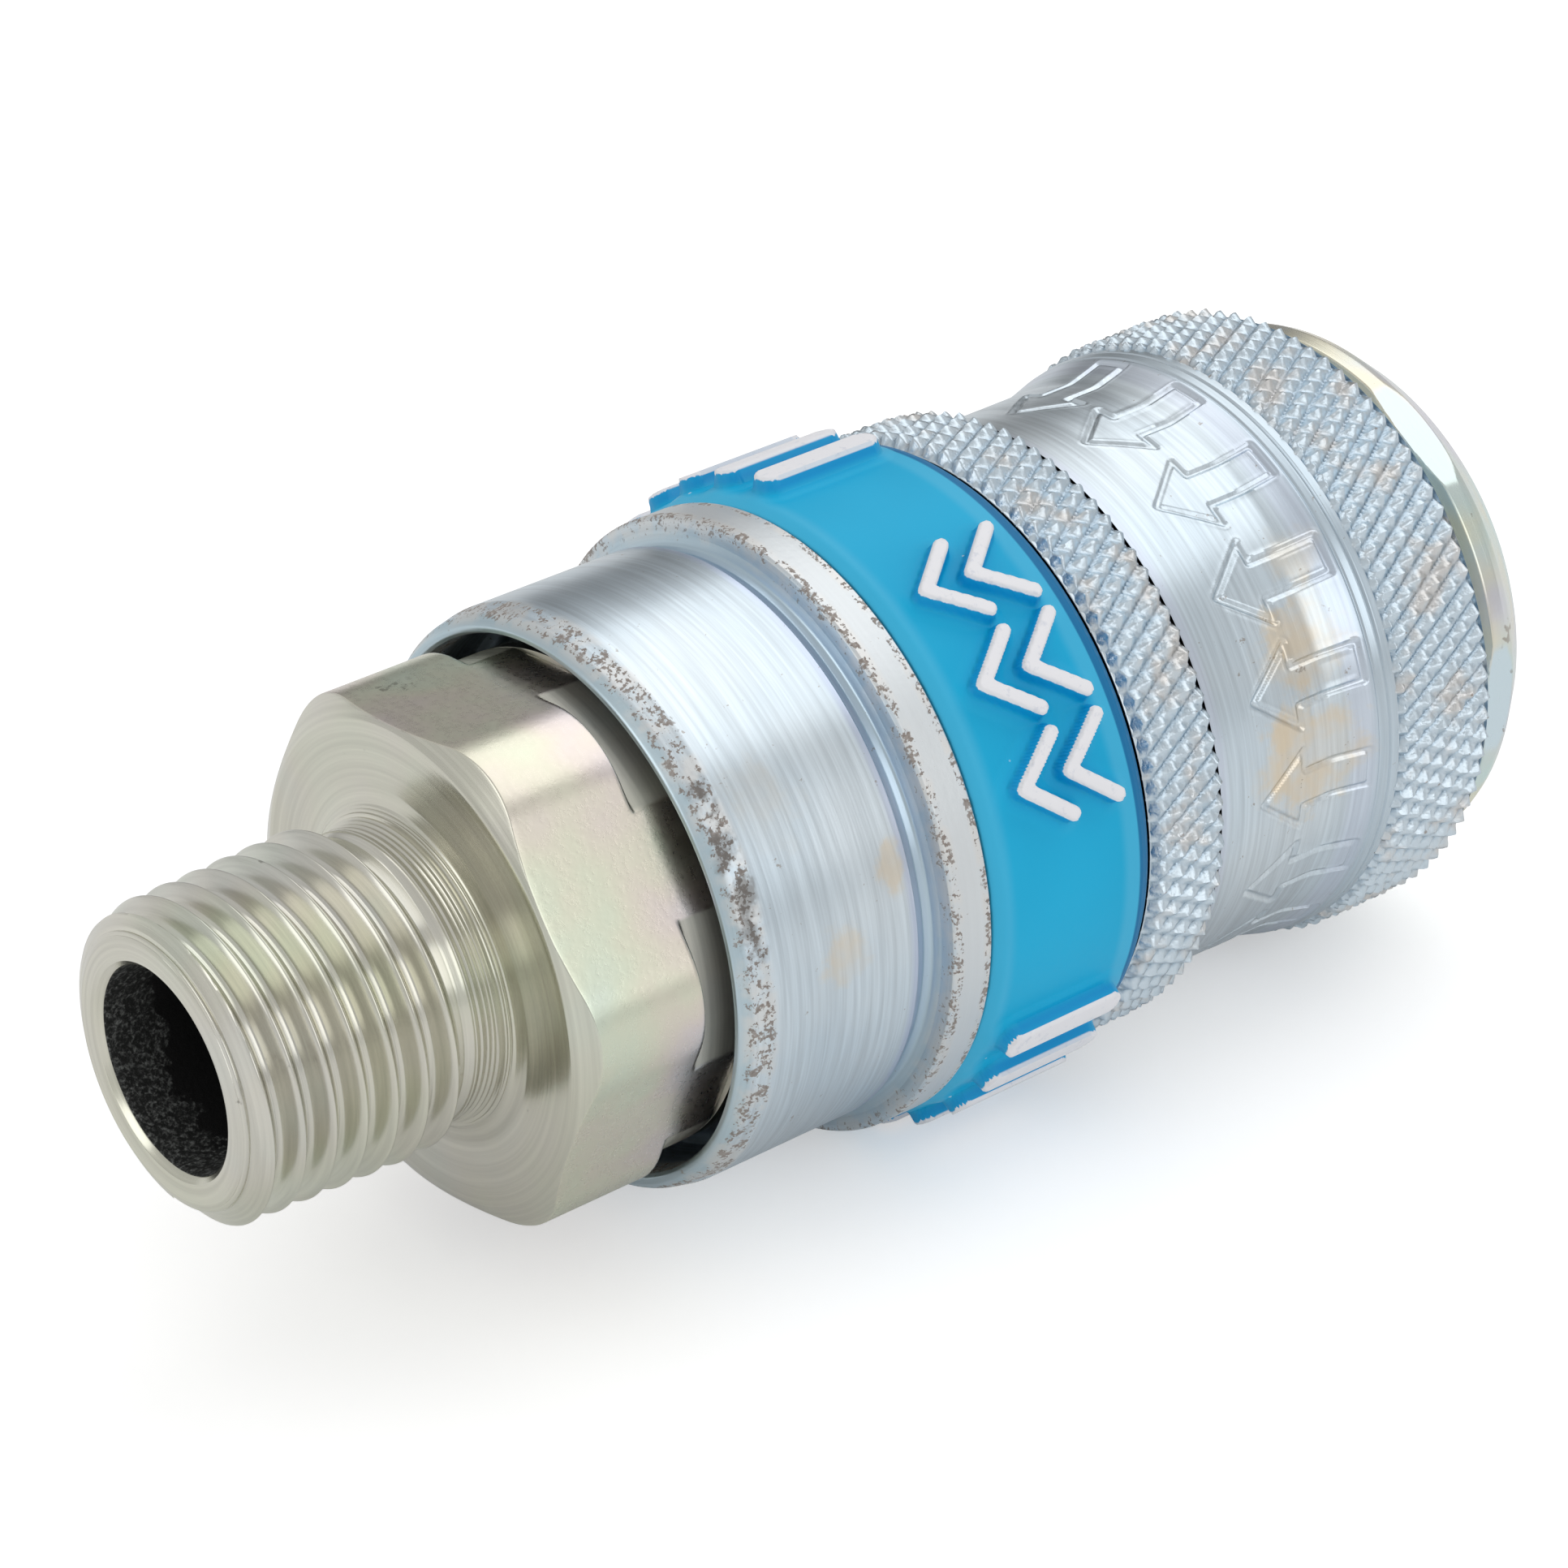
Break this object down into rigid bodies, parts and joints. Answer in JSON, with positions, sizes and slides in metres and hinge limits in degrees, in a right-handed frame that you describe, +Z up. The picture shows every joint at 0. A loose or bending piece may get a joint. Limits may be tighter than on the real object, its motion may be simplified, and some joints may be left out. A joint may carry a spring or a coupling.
{
  "type": "quick disconnect coupler",
  "caption": "Compressed air quick disconnect coupler with a sliding knurled sleeve, a ball lock, a shut-off valve and a male taper thread.",
  "frame": {"origin": "middle of the footprint, on the surface that the coupler lies on", "axes": "+X along the coupler's axis, from the male thread to the plug socket; +Z up"},
  "size_m": [0.061, 0.0264, 0.0269],
  "materials": {
    "zinc_adaptor": "zinc plated and passivated, warm grey with faint iridescence, fine turning lines",
    "zinc_sleeve": "blue zinc plate over turned and knurled steel",
    "spring_steel": "bright drawn wire and pressed washers",
    "ball_steel": "polished hardened steel",
    "valve_brass": "turned brass",
    "black_rubber": "satin nitrile rubber",
    "blue_rubber": "soft matte rubber with white raised marks"
  },
  "bodies": {
    "coupler": {"rear_adaptor": "zinc_adaptor", "adaptor_o_ring": "black_rubber", "coupler_body": "zinc_sleeve", "spring_rest_washer": "spring_steel", "sleeve_spring": "spring_steel", "plug_seal": "black_rubber", "seal_retainer": "valve_brass", "valve_guide": "valve_brass", "valve_spring": "spring_steel"},
    "sleeve_carriage": {"thrust_washer": "spring_steel"},
    "sleeve": {"outer_sleeve": "zinc_sleeve", "id_band": "blue_rubber"},
    "valve": {"valve_poppet": "valve_brass", "valve_seal": "black_rubber"},
    "ball_1": {"locking_ball_1": "ball_steel"},
    "ball_2": {"locking_ball_2": "ball_steel"},
    "ball_3": {"locking_ball_3": "ball_steel"},
    "ball_4": {"locking_ball_4": "ball_steel"},
    "ball_5": {"locking_ball_5": "ball_steel"},
    "ball_6": {"locking_ball_6": "ball_steel"}
  },
  "joints": [
    {"name": "sleeve_slide", "type": "slide", "parent": "coupler", "child": "sleeve_carriage", "axis": [-1, 0, 0], "range_m": [0, 0.0035], "stiffness_N_per_m": 2500, "springref_m": -0.004, "deforming": ["sleeve_spring"]},
    {"name": "sleeve_turn", "type": "hinge", "parent": "sleeve_carriage", "child": "sleeve", "pos_m": [0, 0, 0.01317], "axis": [1, 0, 0], "continuous": true},
    {"name": "valve_slide", "type": "slide", "parent": "coupler", "child": "valve", "axis": [-1, 0, 0], "range_m": [0, 0.0035], "stiffness_N_per_m": 800, "springref_m": -0.005, "deforming": ["valve_spring"]},
    {"name": "ball_1_lift", "type": "slide", "parent": "coupler", "child": "ball_1", "axis": [0, -0.5, 0.866], "range_m": [0, 0.001]},
    {"name": "ball_2_lift", "type": "slide", "parent": "coupler", "child": "ball_2", "axis": [0, -1, 0], "range_m": [0, 0.001]},
    {"name": "ball_3_lift", "type": "slide", "parent": "coupler", "child": "ball_3", "axis": [0, -0.5, -0.866], "range_m": [0, 0.001]},
    {"name": "ball_4_lift", "type": "slide", "parent": "coupler", "child": "ball_4", "axis": [0, 0.5, -0.866], "range_m": [0, 0.001]},
    {"name": "ball_5_lift", "type": "slide", "parent": "coupler", "child": "ball_5", "axis": [0, 1, 0], "range_m": [0, 0.001]},
    {"name": "ball_6_lift", "type": "slide", "parent": "coupler", "child": "ball_6", "axis": [0, 0.5, 0.866], "range_m": [0, 0.001]}
  ],
  "couplings": [
    {"joint": "ball_1_lift", "follows": "sleeve_slide", "ratio": 0.2857},
    {"joint": "ball_2_lift", "follows": "sleeve_slide", "ratio": 0.2857},
    {"joint": "ball_3_lift", "follows": "sleeve_slide", "ratio": 0.2857},
    {"joint": "ball_4_lift", "follows": "sleeve_slide", "ratio": 0.2857},
    {"joint": "ball_5_lift", "follows": "sleeve_slide", "ratio": 0.2857},
    {"joint": "ball_6_lift", "follows": "sleeve_slide", "ratio": 0.2857}
  ]
}
